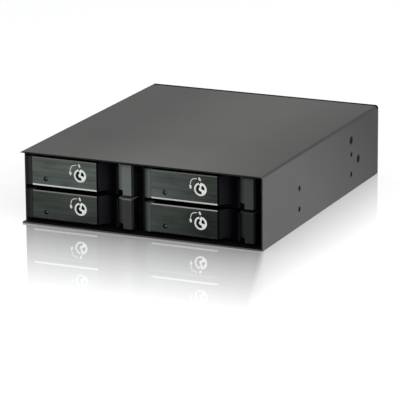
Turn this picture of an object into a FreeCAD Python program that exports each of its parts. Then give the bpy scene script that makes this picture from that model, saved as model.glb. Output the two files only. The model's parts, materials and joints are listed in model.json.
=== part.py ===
import FreeCAD
import Part
import math
import os

os.makedirs("parts", exist_ok=True)
Vector = FreeCAD.Vector
along_x = Vector(1, 0, 0)
along_y = Vector(0, 1, 0)
along_z = Vector(0, 0, 1)

# Hot swap cage for four 2.5 inch drives, made to fill one half height 5.25 inch bay.
# Lengths are millimetres. X runs across the front, Y back from the front lips, Z up from the base.
# Every piece is moved forward by half the depth when it is written, so the origin is mid base.

# Drives and the bays that take them
drive_width = 69.85
drive_length = 100.2
drive_height = 9.5
drive_hole_across = 61.72
drive_hole_along = 76.6
drive_hole_rear = 14.0        # from the connector end to the rear pair of holes
drive_side_gap = 0.125
columns = 2
rows = 2

# Sheet metal case
sheet = 0.8
bend_radius = 1.8             # outside of a fold
bay_height = 18.3
head_room = 2.3               # extra height over the top row
left_wall_setback = 5.75
rear_room = 47.6              # from the backplane board to the rear wall

# Mounting holes in the sides, as half height 5.25 inch devices have them
side_hole_first = 52.4
side_hole_pitch = 79.25
side_hole_low = 10.0
side_hole_rise = 11.84
tapped_radius = 1.25

# Tray pan
pan_wall = 0.6
tray_side_gap = 0.25
tray_lift = 0.4
pan_floor_low = 2.4
pan_floor = 1.0
pan_wall_top = 12.5
pan_front_step = 1.0          # side walls are lower ahead of the drive
pan_floor_start = 17.2
drive_start = 19.5
pan_short = 5.7               # the drive overhangs the pan by this much
pan_lead_in = 3.0
pan_vent_pitch = 27.6
pan_vent_width = 15.0
pan_vent_length = 24.0
pan_vents_across = 2
pan_vents_along = 3
drive_hole_radius = 1.6

# Tray front
front_recess = 2.5            # faceplate behind the front lips
faceplate_thickness = 1.2
faceplate_start = 5.6
edge_facet = 0.9
edge_facet_depth = 0.6
lever_low = 2.15
lever_top_step = 0.75         # lever top below the latch top
lever_depth = 2.7
rib_depth = 2.0
rib_thickness = 1.2
lever_room = 7.7              # faceplate front to bezel wall
lever_back_gap = 0.5
barrel_radius = 2.9
barrel_side_gap = 0.4
barrel_front_step = 0.2       # hinge barrel behind the faceplate front
pin_radius = 0.8
pin_clearance = 0.04
pin_end_gap = 0.5
knuckle_half = 1.3            # half the width of the square knuckle round the pin
knuckle_height = 6.5
knuckle_gap = 0.3
knuckle_reach = 2.9           # knuckle arm edge beyond the hinge axis
hinge_pocket = 5.7            # reach of the lever pocket beyond the hinge axis
scoop_width = 12.4
scoop_radius = 5.3
scoop_wall = 1.4
scoop_front_step = 0.3
scoop_corner = 1.4

# Latch
latch_width = 9.4
latch_travel = 3.0
latch_right_room = 4.6
latch_head_gap = 0.3          # latch top below the tray above
latch_low_step = 0.15
latch_facet_width = 3.1
latch_facet_depth = 1.9
latch_round = 1.0
latch_wall = 1.2
latch_cap = 2.3
latch_back_gap = 0.6
latch_notch_width = 3.3
latch_notch_height = 2.8
lever_latch_gap = 0.4
stem_width = 3.0
stem_height = 6.0
stem_gap = 0.3
stem_start = 2.2              # stem edge inside the cavity
keeper_thickness = 1.0
keeper_gap = 0.2
keeper_lap = 1.5
spring_thickness = 0.25
spring_height = 4.0
spring_reach = 3.6

# Lock and indicator
lock_from_scoop = 9.8
lock_ring_radius = 4.0
lock_body_half = 3.6          # half the width of the square body behind the ring
lock_bore_radius = 2.9
lock_ring_proud = 0.3
lock_back_gap = 0.8
plug_clearance = 0.05
plug_recess = 0.25
keyway_depth = 1.8
keyway_outer = 2.4
keyway_inner = 1.0
keyway_flat = 30.0            # degrees of arc to each flat
wide_keyway_start = 125.0
wide_keyway_end = 262.0
short_keyway_start = -25.0
short_keyway_end = 52.0
plug_stem_half = 1.0
cam_length = 5.5
cam_half_width = 1.3
cam_thickness = 0.8
cam_gap = 0.3
cam_swing_room = 1.1          # extra slot on the right, for the arc of the opening lever
index_notch = 0.8
indicator_from_plate = 8.3
indicator_drop = 4.0
indicator_radius = 1.4
pipe_size = 1.8
pipe_floor_gap = 0.5
pipe_bend_start = 0.6
pipe_bend_run = 3.8

# Bezel behind the lever
bezel_wall = 1.8
bezel_top_gap = 0.3
bezel_low_step = 0.1
bezel_flange = 1.2
bezel_flange_length = 4.8
bezel_vents = 4
bezel_vent_width = 2.4
bezel_vent_height = 6.0
bezel_vent_pitch = 4.4

# Backplane
mating_gap = 5.3              # drive end to board
board_thickness = 1.6
board_edge_gap = 2.2
board_low_gap = 0.2
board_top_gap = 1.5
board_vent_width = 14.0
board_vent_height = 5.0
board_vent_offset = 9.4       # each side of the socket's middle
socket_width = 37.6
socket_height = 5.6
socket_depth = 8.5
socket_offset = 4.8           # connector centre beside the drive's centre line
socket_tongue = 3.5           # tongue above the drive's underside
socket_slot = 1.5
socket_slot_depth = 5.0
signal_slot_width = 10.4
power_slot_width = 20.6
slot_key = 1.3
slot_web = 1.6
socket_ear = 2.2
socket_ear_length = 1.6
led_size = 1.6
led_gap = 0.6
port_width = 14.4
port_height = 6.4
port_depth = 8.4
inlet_width = 24.6
inlet_height = 6.8
port_inset = 7.6              # first port beside the case middle
port_gap = 4.0
capacitor_radius = 3.15
capacitor_length = 7.5
capacitor_rise = 11.0
header_width = 7.4
header_height = 5.6
header_depth = 6.0
header_wall = 1.0
header_pin = 0.6
header_pin_pitch = 2.54

# Brackets and rivets
bracket_sheet = 1.0
bracket_leg = 22.0
bracket_foot = 9.0
bracket_low = 4.0
bracket_high = 36.0
bracket_clearance = 3.2       # half the notch round a mounting hole
bracket_tab = 6.0
bracket_tab_inset = 3.0
rivet_radius = 2.5
upper_rivet_back = 4.5        # from the board's back face
upper_rivet_height = 30.4
lower_rivet_back = 16.0
lower_rivet_height = 16.7

# Divider and shelves
panel_back_gap = 0.3
shelf_setback = 11.5
shelf_side_drop = 5.0
shelf_tab_width = 4.0
shelf_tab_length = 1.6
shelf_vents_across = 3
shelf_vent_pitch = 13.0
panel_vent_length = 13.0
panel_vent_height = 8.0
panel_vent_pitch = 30.0
panel_vents = 3
panel_vent_start = 30.0

# Rear wall and fan
fan_size = 35.0
fan_depth = 10.0
fan_duct_radius = 16.2
fan_tip_gap = 0.6
fan_hub_radius = 7.2
fan_hub_depth = 7.0
fan_hub_inset = 0.8
fan_blades = 7
fan_blade_thickness = 0.8
fan_blade_bow = 1.0
fan_blade_chord = 7.4
fan_blade_angle = 40.0
fan_strut_width = 2.2
fan_strut_depth = 1.5
fan_struts = 3
fan_shaft_radius = 1.0
fan_shaft_clearance = 0.05
fan_bearing_half = 1.8
channel_gap = 0.2
channel_lip = 2.5
grille_slot = 2.6
grille_bar = 1.6
grille_web = 2.4
window_width = 42.0
window_height = 28.0
window_side = 4.2
seam_flange_length = 22.0
seam_flange_height = 11.0
seam_flange_end = 2.2

# Worked out from the above
drive_seat = pan_floor_low + pan_floor
tray_width = drive_width + 2 * drive_side_gap + 2 * pan_wall
bay_width = tray_width + 2 * tray_side_gap
bay_pitch = bay_height + sheet
case_width = columns * bay_width + (columns + 1) * sheet
case_height = rows * bay_pitch + head_room + sheet
half_width = case_width / 2
inner_half = half_width - sheet
roof = case_height - sheet
drive_end = drive_start + drive_length
board_front = drive_end + mating_gap
board_back = board_front + board_thickness
rear_wall = board_back + rear_room
case_depth = rear_wall + sheet
socket_nose = board_front - socket_depth
pan_end = drive_end - pan_short
tray_left = tray_side_gap
tray_right = tray_left + tray_width
pan_inner_left = tray_left + pan_wall
pan_inner_right = tray_right - pan_wall

bezel_front = front_recess + lever_room
bezel_back = bezel_front + bezel_wall
pan_front_top = pan_wall_top - pan_front_step
bezel_low = tray_lift + bezel_low_step
bezel_top = bay_height - bezel_top_gap
latch_right = bay_width - latch_right_room
latch_left = latch_right - latch_width
latch_low = lever_low - latch_low_step
latch_top = bay_pitch + tray_lift - latch_head_gap
latch_back = bezel_front - latch_back_gap
lever_top = latch_top - lever_top_step
lever_middle = (lever_low + lever_top) / 2
lever_tip = latch_left - lever_latch_gap
scoop_left = lever_tip - scoop_width
carrier_front = front_recess + faceplate_thickness
carrier_back = carrier_front + lever_depth
scoop_front = front_recess + scoop_front_step
scoop_back = bezel_front - lever_back_gap
scoop_middle = (scoop_left + lever_tip) / 2
scoop_axis = scoop_back - scoop_wall - scoop_radius
hinge_across = barrel_radius + barrel_side_gap
hinge_back = front_recess + barrel_front_step + barrel_radius
knuckle_low = lever_middle - knuckle_height / 2
knuckle_top = lever_middle + knuckle_height / 2
lock_across = scoop_left - lock_from_scoop
lock_back = bezel_front - lock_back_gap
lock_front = front_recess - lock_ring_proud
plug_radius = lock_bore_radius - plug_clearance
cam_front = bezel_back + cam_gap
cam_back = cam_front + cam_thickness
indicator_across = faceplate_start + indicator_from_plate
indicator_height = lever_middle - indicator_drop
stem_left = latch_left + latch_wall + stem_start
stem_right = stem_left + stem_width
stem_low = lever_middle - stem_height / 2
stem_top = lever_middle + stem_height / 2
keeper_front = bezel_back + keeper_gap
keeper_back = keeper_front + keeper_thickness
bezel_flange_right = pan_inner_right - bezel_flange

fan_middle_height = (sheet + roof) / 2
fan_front = rear_wall - fan_depth
side_hole_depths = [side_hole_first, side_hole_first + side_hole_pitch]
side_hole_heights = [side_hole_low, side_hole_low + side_hole_rise]
case_rivet_places = [
    (board_back + upper_rivet_back, upper_rivet_height),
    (board_back + lower_rivet_back, lower_rivet_height),
]


def block(x_low, x_high, y_low, y_high, z_low, z_high):
    corner = Vector(x_low, y_low, z_low)
    return Part.makeBox(x_high - x_low, y_high - y_low, z_high - z_low, corner)


def rod(x, y, z, radius, length, direction):
    return Part.makeCylinder(radius, length, Vector(x, y, z), direction)


def prism(corners, start, reach):
    """A straight prism: corners are closed into a face, which is pushed along reach from start."""
    ring = [start + corner for corner in corners]
    return Part.Face(Part.makePolygon(ring + ring[:1])).extrude(reach)


def across(points, x_low, x_high):
    corners = [Vector(0, y, z) for y, z in points]
    return prism(corners, Vector(x_low, 0, 0), Vector(x_high - x_low, 0, 0))


def upward(points, z_low, z_high):
    corners = [Vector(x, y, 0) for x, y in points]
    return prism(corners, Vector(0, 0, z_low), Vector(0, 0, z_high - z_low))


def backward(points, y_low, y_high):
    corners = [Vector(x, 0, z) for x, z in points]
    return prism(corners, Vector(0, y_low, 0), Vector(0, y_high - y_low, 0))


def strip(points, thickness):
    """Outline of a bent strip of even thickness round a centre line of (a, b) points."""
    left = []
    right = []
    for i, (a, b) in enumerate(points):
        turns = []
        for first, second in ((i - 1, i), (i, i + 1)):
            if first >= 0 and second < len(points):
                da = points[second][0] - points[first][0]
                db = points[second][1] - points[first][1]
                run = math.hypot(da, db)
                turns.append((-db / run, da / run))
        na = sum(turn[0] for turn in turns) / len(turns)
        nb = sum(turn[1] for turn in turns) / len(turns)
        reach = thickness / 2 / (na * na + nb * nb)
        left.append((a + na * reach, b + nb * reach))
        right.append((a - na * reach, b - nb * reach))
    return left + right[::-1]


def bay_left(column):
    return -inner_half + column * (bay_width + sheet)


def bay_floor(row):
    return sheet + row * bay_pitch


def both_sides(shape):
    return [shape, shape.mirror(Vector(0, 0, 0), along_x)]


# ---- Tray pieces, in the coordinates of their own bay ----

def pan():
    """Folded tray that carries one drive: two side walls that run on the bay floor, and a floor panel."""
    side = [
        (bezel_back, tray_lift),
        (pan_end - pan_lead_in, tray_lift),
        (pan_end, drive_seat),
        (pan_end, pan_wall_top - pan_lead_in),
        (pan_end - pan_lead_in, pan_wall_top),
        (pan_floor_start + bezel_flange_length, pan_wall_top),
        (pan_floor_start, pan_front_top),
        (bezel_back, pan_front_top),
    ]
    left = across(side, tray_left, pan_inner_left)
    right = across(side, pan_inner_right, tray_right)
    floor_end = pan_end - pan_lead_in
    floor = block(pan_inner_left, pan_inner_right, pan_floor_start, floor_end, pan_floor_low, drive_seat)
    shape = left.fuse([right, floor])
    middle = bay_width / 2
    rear_hole = drive_end - drive_hole_rear
    cuts = []
    for x in (middle - drive_hole_across / 2, middle + drive_hole_across / 2):
        for y in (rear_hole - drive_hole_along, rear_hole):
            cuts.append(rod(x, y, pan_floor_low, drive_hole_radius, pan_floor, along_z))
    step_along = (floor_end - pan_floor_start) / pan_vents_along
    for i in range(pan_vents_across):
        x = middle + (i - (pan_vents_across - 1) / 2) * pan_vent_pitch
        for k in range(pan_vents_along):
            y = pan_floor_start + (k + 0.5) * step_along
            cuts.append(block(
                x - pan_vent_width / 2, x + pan_vent_width / 2,
                y - pan_vent_length / 2, y + pan_vent_length / 2,
                pan_floor_low, drive_seat))
    return shape.cut(cuts).removeSplitter()


def bezel():
    """Moulded wall behind the lever, with the hinge knuckle, the latch window, the cam slot and vents."""
    wall = block(tray_left, tray_right, bezel_front, bezel_back, bezel_low, bezel_top)
    flange_back = bezel_back + bezel_flange_length
    flange_left = pan_inner_left + bezel_flange
    flanges = [
        block(pan_inner_left, flange_left, bezel_back, flange_back, pan_floor_low, pan_front_top),
        block(bezel_flange_right, pan_inner_right, bezel_back, flange_back, pan_floor_low, pan_front_top),
    ]
    knuckle = [
        (hinge_across - knuckle_half, hinge_back - knuckle_half),
        (hinge_across + knuckle_half, hinge_back - knuckle_half),
        (hinge_across + knuckle_reach, hinge_back + knuckle_half),
        (hinge_across + knuckle_reach, bezel_front),
        (hinge_across, bezel_front),
        (hinge_across, hinge_back + knuckle_half),
        (hinge_across - knuckle_half, hinge_back + knuckle_half),
    ]
    shape = wall.fuse(flanges + [upward(knuckle, knuckle_low, knuckle_top)])
    slot_half = cam_half_width + cam_gap
    cuts = [
        rod(hinge_across, hinge_back, knuckle_low, pin_radius, knuckle_height, along_z),
        block(
            stem_left - stem_gap, stem_right + latch_travel + stem_gap,
            bezel_front, bezel_back, stem_low - stem_gap, stem_top + stem_gap),
        block(
            lock_across - cam_length - cam_gap, lock_across + slot_half + cam_swing_room,
            bezel_front, bezel_back, lever_middle - slot_half, lever_middle + slot_half),
        block(
            indicator_across - pipe_size / 2, indicator_across + pipe_size / 2, bezel_front, bezel_back,
            indicator_height - pipe_size / 2, indicator_height + pipe_size / 2),
    ]
    vent_left = indicator_across - (bezel_vents - 1) / 2 * bezel_vent_pitch
    for i in range(bezel_vents):
        x = vent_left + i * bezel_vent_pitch
        cuts.append(block(
            x - bezel_vent_width / 2, x + bezel_vent_width / 2, bezel_front, bezel_back,
            lever_middle, lever_middle + bezel_vent_height))
    return shape.cut(cuts).removeSplitter()


def lever():
    """Eject lever: a full height hinge barrel, a ribbed carrier for the faceplate and a finger scoop."""
    carrier = [
        (hinge_across, carrier_front),
        (scoop_left, carrier_front),
        (scoop_left, scoop_front),
        (lever_tip, scoop_front),
        (lever_tip, scoop_back - scoop_corner),
        (lever_tip - scoop_corner, scoop_back),
        (scoop_left + scoop_corner, scoop_back),
        (scoop_left, scoop_back - scoop_corner),
        (scoop_left, carrier_back),
        (hinge_across, carrier_back),
    ]
    height = lever_top - lever_low
    body = upward(carrier, lever_low, lever_top)
    barrel = rod(hinge_across, hinge_back, lever_low, barrel_radius, height, along_z)
    rib_left = hinge_across + hinge_pocket
    rib_back = carrier_back + rib_depth
    ribs = [
        block(rib_left, scoop_left, carrier_back, rib_back, lever_low, lever_low + rib_thickness),
        block(rib_left, scoop_left, carrier_back, rib_back, lever_top - rib_thickness, lever_top),
    ]
    shape = body.fuse([barrel] + ribs)
    pocket_low = knuckle_low - knuckle_gap
    pocket_height = knuckle_height + 2 * knuckle_gap
    pocket_radius = knuckle_half * math.sqrt(2) + knuckle_gap
    cuts = [
        rod(scoop_middle, scoop_axis, lever_low, scoop_radius, height, along_z),
        rod(hinge_across, hinge_back, lever_low, pin_radius + pin_clearance, height, along_z),
        rod(hinge_across, hinge_back, pocket_low, pocket_radius, pocket_height, along_z),
        block(
            hinge_across - barrel_radius, hinge_across + hinge_pocket, hinge_back - knuckle_gap,
            hinge_back + barrel_radius, pocket_low, pocket_low + pocket_height),
        block(
            lock_across - lock_body_half, lock_across + lock_body_half, carrier_front, carrier_back,
            lever_middle - lock_body_half, lever_middle + lock_body_half),
        block(
            indicator_across - indicator_radius, indicator_across + indicator_radius,
            carrier_front, carrier_back,
            indicator_height - indicator_radius, indicator_height + indicator_radius),
    ]
    return shape.cut(cuts).removeSplitter()


def faceplate():
    """Brushed plate on the lever, with the long edges cut back to polished facets."""
    section = [
        (front_recess, lever_low + edge_facet),
        (front_recess + edge_facet_depth, lever_low),
        (carrier_front, lever_low),
        (carrier_front, lever_top),
        (front_recess + edge_facet_depth, lever_top),
        (front_recess, lever_top - edge_facet),
    ]
    shape = across(section, faceplate_start, scoop_left)
    cuts = []
    for x, z, radius in (
            (lock_across, lever_middle, lock_ring_radius),
            (indicator_across, indicator_height, indicator_radius)):
        cuts.append(rod(x, front_recess, z, radius, faceplate_thickness, along_y))
    return shape.cut(cuts)


def latch():
    """Slide latch: a hollow button, a stem through the bezel window and a keeper plate behind it."""
    facet_back = front_recess + latch_facet_depth
    plan = [
        (latch_left, facet_back),
        (latch_left + latch_facet_width, front_recess),
        (latch_right - latch_round, front_recess),
        (latch_right, front_recess + latch_round),
        (latch_right, latch_back),
        (latch_left, latch_back),
    ]
    button = upward(plan, latch_low, latch_top)
    hollow = block(
        latch_left + latch_wall, latch_right - latch_wall, front_recess + latch_cap, latch_back,
        latch_low + latch_wall, latch_top - latch_wall)
    notch = block(
        latch_left, latch_left + latch_notch_width, front_recess, latch_back,
        latch_low, latch_low + latch_notch_height)
    stem = block(stem_left, stem_right, front_recess + latch_cap, keeper_front, stem_low, stem_top)
    keeper = block(
        stem_left - keeper_lap, stem_right + keeper_lap, keeper_front, keeper_back,
        stem_low - keeper_lap, stem_top + keeper_lap)
    return button.cut([hollow, notch]).fuse([stem, keeper]).removeSplitter()


def latch_spring():
    """Bent leaf between the keeper plate and the side of the bezel; it returns the latch."""
    seat = bezel_flange_right - spring_thickness / 2
    push = stem_right + keeper_lap + spring_thickness
    line = [
        (seat, keeper_front),
        (seat, keeper_front + spring_reach),
        (push, keeper_back + spring_thickness),
        (push, keeper_front),
    ]
    low = lever_middle - spring_height / 2
    return upward(strip(line, spring_thickness), low, low + spring_height)


def hinge_pin():
    low = lever_low + pin_end_gap
    return rod(hinge_across, hinge_back, low, pin_radius, lever_top - pin_end_gap - low, along_z)


def lock_barrel():
    """Lock body: a ring seated in the faceplate and a square body behind it. A notch indexes the key."""
    ring = rod(lock_across, lock_front, lever_middle, lock_ring_radius, carrier_front - lock_front, along_y)
    body = block(
        lock_across - lock_body_half, lock_across + lock_body_half, carrier_front, lock_back,
        lever_middle - lock_body_half, lever_middle + lock_body_half)
    bore = rod(lock_across, lock_front, lever_middle, lock_bore_radius, lock_back - lock_front, along_y)
    notch = block(
        lock_across - index_notch, lock_across, lock_front, front_recess,
        lever_middle + lock_bore_radius - index_notch, lever_middle + lock_ring_radius)
    return ring.fuse(body).cut([bore, notch]).removeSplitter()


def keyway(outer, inner, start, end):
    """Curved keyway in the plug face, between two angles counted from the right, in short flats."""
    front = lock_front + plug_recess
    flats = math.ceil((end - start) / keyway_flat)
    angles = [math.radians(start + (end - start) * i / flats) for i in range(flats + 1)]
    corners = [(math.cos(angle) * outer, math.sin(angle) * outer) for angle in angles]
    corners += [(math.cos(angle) * inner, math.sin(angle) * inner) for angle in reversed(angles)]
    points = [(lock_across + x, lever_middle + z) for x, z in corners]
    return backward(points, front, front + keyway_depth)


def lock_plug():
    """Turning plug with two curved keyways, and its cam behind the bezel wall.

    The cam lies flat beside the stem when unlocked, so it leaves through the bezel slot with the
    lever. A quarter turn stands it up behind the wall.
    """
    front = lock_front + plug_recess
    plug = rod(lock_across, front, lever_middle, plug_radius, lock_back - front, along_y)
    stem = block(
        lock_across - plug_stem_half, lock_across + plug_stem_half, lock_back, cam_front,
        lever_middle - plug_stem_half, lever_middle + plug_stem_half)
    cam_tip = lock_across - cam_length
    cam = backward([
        (lock_across + cam_half_width, lever_middle - cam_half_width),
        (lock_across + cam_half_width, lever_middle + cam_half_width),
        (cam_tip + cam_half_width / 2, lever_middle + cam_half_width),
        (cam_tip, lever_middle + cam_half_width / 2),
        (cam_tip, lever_middle - cam_half_width / 2),
        (cam_tip + cam_half_width / 2, lever_middle - cam_half_width),
    ], cam_front, cam_back)
    wide = keyway(keyway_outer, keyway_inner, wide_keyway_start, wide_keyway_end)
    short = keyway(keyway_outer, keyway_inner, short_keyway_start, short_keyway_end)
    return plug.cut([wide, short]).fuse([stem, cam]).removeSplitter()


def light_pipe():
    """Square light guide from the indicator hole, down and back under the pan to the board's lamp."""
    low = pipe_floor_gap + pipe_size / 2
    bend = bezel_back + pipe_bend_start
    line = [
        (bezel_front, indicator_height),
        (bend, indicator_height),
        (bend + pipe_bend_run, low),
        (board_front - led_size - led_gap, low),
    ]
    left = indicator_across - pipe_size / 2
    return across(strip(line, pipe_size), left, left + pipe_size)


# ---- Case ----

def top_cover():
    """Roof and both side walls, folded from one sheet."""
    wall = half_width
    flat = half_width - bend_radius
    curve = bend_radius * (1 - math.sqrt(0.5))
    outer = [
        Part.makeLine(Vector(-wall, 0, 0), Vector(-wall, 0, case_height - bend_radius)),
        Part.Arc(
            Vector(-wall, 0, case_height - bend_radius),
            Vector(-wall + curve, 0, case_height - curve),
            Vector(-flat, 0, case_height)).toShape(),
        Part.makeLine(Vector(-flat, 0, case_height), Vector(flat, 0, case_height)),
        Part.Arc(
            Vector(flat, 0, case_height),
            Vector(wall - curve, 0, case_height - curve),
            Vector(wall, 0, case_height - bend_radius)).toShape(),
        Part.makeLine(Vector(wall, 0, case_height - bend_radius), Vector(wall, 0, 0)),
        Part.makeLine(Vector(wall, 0, 0), Vector(-wall, 0, 0)),
    ]
    body = Part.Face(Part.Wire(outer)).extrude(Vector(0, case_depth, 0))
    inside = block(-inner_half, inner_half, 0, case_depth, 0, roof)
    setback = block(-half_width, -inner_half, 0, left_wall_setback, 0, roof)
    cuts = [inside, setback]
    for y in side_hole_depths:
        for z in side_hole_heights:
            cuts.append(rod(-half_width, y, z, tapped_radius, sheet, along_x))
            cuts.append(rod(inner_half, y, z, tapped_radius, sheet, along_x))
    cuts += case_rivets()
    return body.cut(cuts).removeSplitter()


def case_rivets():
    """Flush rivets in the side walls, set on the board brackets."""
    rivets = []
    for y, z in case_rivet_places:
        for start in (-half_width, inner_half):
            rivets.append(rod(start, y, z, rivet_radius, sheet, along_x))
    return rivets


def grille_cuts():
    """Upright air slots behind the fan, each as long as the round duct allows."""
    pitch = grille_slot + grille_bar
    count = int(fan_duct_radius / pitch)
    cuts = []
    for i in range(-count, count + 1):
        x = i * pitch
        edge = abs(x) + grille_slot / 2
        reach = math.sqrt(max(fan_duct_radius ** 2 - edge ** 2, grille_slot ** 2))
        for side in (-1, 1):
            start = side * grille_web / 2
            end = side * reach
            cuts.append(block(
                x - grille_slot / 2, x + grille_slot / 2, rear_wall, case_depth,
                fan_middle_height + min(start, end), fan_middle_height + max(start, end)))
    return cuts


def base_plate():
    """Bottom sheet with the rear wall folded up from it, side welding flanges and the fan's channels."""
    curve = bend_radius * (1 - math.sqrt(0.5))
    inner_bend = bend_radius - sheet
    inner_curve = inner_bend * (1 - math.sqrt(0.5))
    left = -inner_half
    edges = [
        Part.makeLine(Vector(left, 0, 0), Vector(left, case_depth - bend_radius, 0)),
        Part.Arc(
            Vector(left, case_depth - bend_radius, 0),
            Vector(left, case_depth - curve, curve),
            Vector(left, case_depth, bend_radius)).toShape(),
        Part.makeLine(Vector(left, case_depth, bend_radius), Vector(left, case_depth, roof)),
        Part.makeLine(Vector(left, case_depth, roof), Vector(left, rear_wall, roof)),
        Part.makeLine(Vector(left, rear_wall, roof), Vector(left, rear_wall, sheet + inner_bend)),
        Part.Arc(
            Vector(left, rear_wall, sheet + inner_bend),
            Vector(left, rear_wall - inner_curve, sheet + inner_curve),
            Vector(left, rear_wall - inner_bend, sheet)).toShape(),
        Part.makeLine(Vector(left, rear_wall - inner_bend, sheet), Vector(left, 0, sheet)),
        Part.makeLine(Vector(left, 0, sheet), Vector(left, 0, 0)),
    ]
    body = Part.Face(Part.Wire(edges)).extrude(Vector(2 * inner_half, 0, 0))
    flange_end = rear_wall - seam_flange_end
    flange = block(
        inner_half - sheet, inner_half, flange_end - seam_flange_length, flange_end,
        sheet, seam_flange_height)
    hold = fan_size / 2 + channel_gap
    channel = upward([
        (hold, rear_wall),
        (hold, fan_front - channel_gap),
        (hold - channel_lip, fan_front - channel_gap),
        (hold - channel_lip, fan_front - channel_gap - sheet),
        (hold + sheet, fan_front - channel_gap - sheet),
        (hold + sheet, rear_wall),
    ], sheet, roof)
    cuts = grille_cuts()
    window = block(
        inner_half - window_side - window_width, inner_half - window_side, rear_wall, case_depth,
        fan_middle_height - window_height / 2, fan_middle_height + window_height / 2)
    cuts += both_sides(window)
    return body.fuse(both_sides(flange) + both_sides(channel)).cut(cuts).removeSplitter()


def panel_vent_places():
    return [panel_vent_start + i * panel_vent_pitch for i in range(panel_vents)]


def centre_divider():
    """Upright sheet between the two columns of bays."""
    half = sheet / 2
    end = board_front - panel_back_gap
    shape = block(-half, half, left_wall_setback, end, sheet, roof)
    cuts = []
    for y in panel_vent_places():
        for row in range(rows):
            z = bay_floor(row) + drive_seat
            cuts.append(block(-half, half, y, y + panel_vent_length, z, z + panel_vent_height))
    return shape.cut(cuts)


def shelf(column):
    """Floor of an upper bay; its folded sides are welded to the case wall and the divider."""
    left = bay_left(column)
    right = left + bay_width
    low = bay_height + sheet
    high = low + sheet
    end = board_front - panel_back_gap
    side_start = pan_floor_start + sheet
    plate = block(left, right, shelf_setback, end, low, high)
    sides = [
        block(left, left + sheet, side_start, end, low - shelf_side_drop, low),
        block(right - sheet, right, side_start, end, low - shelf_side_drop, low),
    ]
    tab_left = left + latch_right - sheet
    tab = block(
        tab_left, tab_left + shelf_tab_width, shelf_setback - shelf_tab_length, shelf_setback, low, high)
    cuts = []
    for y in panel_vent_places():
        for i in range(shelf_vents_across):
            x = left + bay_width / 2 + (i - (shelf_vents_across - 1) / 2) * shelf_vent_pitch
            cuts.append(block(
                x - panel_vent_height / 2, x + panel_vent_height / 2, y, y + panel_vent_length, low, high))
    return plate.fuse(sides + [tab]).cut(cuts).removeSplitter()


# ---- Backplane ----

def socket_centre(column):
    return bay_left(column) + bay_width / 2 - socket_offset


def backplane_board():
    half = inner_half - board_edge_gap
    low = sheet + board_low_gap
    shape = block(-half, half, board_front, board_back, low, roof - board_top_gap)
    cuts = bracket_tabs()
    for column in range(columns):
        for row in range(rows):
            for side in (-1, 1):
                x = socket_centre(column) + side * board_vent_offset
                z = bay_floor(row) + drive_seat + drive_height
                cuts.append(block(
                    x - board_vent_width / 2, x + board_vent_width / 2, board_front, board_back,
                    z - board_vent_height / 2, z + board_vent_height / 2))
    return shape.cut(cuts)


def keyed_slot(left, width, middle, front, depth, key_side):
    """Contact slot with the small corner that makes the plug fit one way only."""
    low = middle - socket_slot / 2
    high = middle + socket_slot / 2
    key_end = left if key_side < 0 else left + width
    key_start = key_end + (slot_key if key_side < 0 else -slot_key)
    return block(left, left + width, front, front + depth, low, high).fuse(block(
        min(key_start, key_end), max(key_start, key_end), front, front + depth, low - slot_key, low))


def drive_socket(column, row):
    """Receptacle that the drive plugs into as the tray is pushed home."""
    middle = bay_floor(row) + drive_seat + socket_tongue
    x = socket_centre(column)
    low = middle - socket_height / 2
    high = middle + socket_height / 2
    left = x - socket_width / 2
    right = x + socket_width / 2
    body = block(left, right, socket_nose, board_front, low, high)
    ear_front = socket_nose - socket_ear_length
    ears = [
        block(left - socket_ear, left, ear_front, board_front, low, high),
        block(right, right + socket_ear, ear_front, board_front, low, high),
    ]
    used = signal_slot_width + slot_web + power_slot_width
    signal_left = x - used / 2
    power_left = signal_left + signal_slot_width + slot_web
    cuts = [
        keyed_slot(signal_left, signal_slot_width, middle, socket_nose, socket_slot_depth, 1),
        keyed_slot(power_left, power_slot_width, middle, socket_nose, socket_slot_depth, -1),
    ]
    return body.fuse(ears).cut(cuts).removeSplitter()


def port(left, width, height, middle):
    """Connector on the back of the board, open to the rear."""
    end = board_back + port_depth
    body = block(left, left + width, board_back, end, middle - height / 2, middle + height / 2)
    slot_width = width - 2 * slot_web
    start = end - socket_slot_depth
    return body.cut(keyed_slot(left + slot_web, slot_width, middle, start, socket_slot_depth, 1))


def data_ports():
    ports = []
    for side in (-1, 1):
        for row in range(rows):
            middle = bay_floor(row) + bay_height / 2
            left = side * (port_inset + port_width / 2) - port_width / 2
            ports.append(port(left + side * port_gap, port_width, port_height, middle))
    return ports


def power_inlets():
    middle = fan_middle_height
    start = port_inset + port_width + 2 * port_gap
    inlet = port(start, inlet_width, inlet_height, middle)
    return [inlet, port(-start - inlet_width, inlet_width, inlet_height, middle)]


def status_leds():
    lamps = []
    for column in range(columns):
        for row in range(rows):
            x = bay_left(column) + indicator_across
            z = bay_floor(row) + pipe_floor_gap + pipe_size / 2
            half = led_size / 2
            lamps.append(block(x - half, x + half, board_front - led_size, board_front, z - half, z + half))
    return lamps


def capacitor():
    x = port_inset + port_width + 2 * port_gap + capacitor_radius
    z = fan_middle_height + capacitor_rise
    return rod(x, board_back, z, capacitor_radius, capacitor_length, along_y)


def fan_header():
    """Three pin plug for the fan lead."""
    low = fan_middle_height - header_height / 2
    half = header_width / 2
    base_end = board_back + header_wall
    end = board_back + header_depth
    base = block(-half, half, board_back, base_end, low, low + header_height)
    wall = block(-half, half, base_end, end, low, low + header_wall)
    pins = []
    for i in (-1, 0, 1):
        x = i * header_pin_pitch
        z = fan_middle_height
        half_pin = header_pin / 2
        pins.append(block(x - half_pin, x + half_pin, base_end, end, z - half_pin, z + half_pin))
    return base.fuse([wall] + pins).removeSplitter()


# ---- Brackets ----

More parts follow.
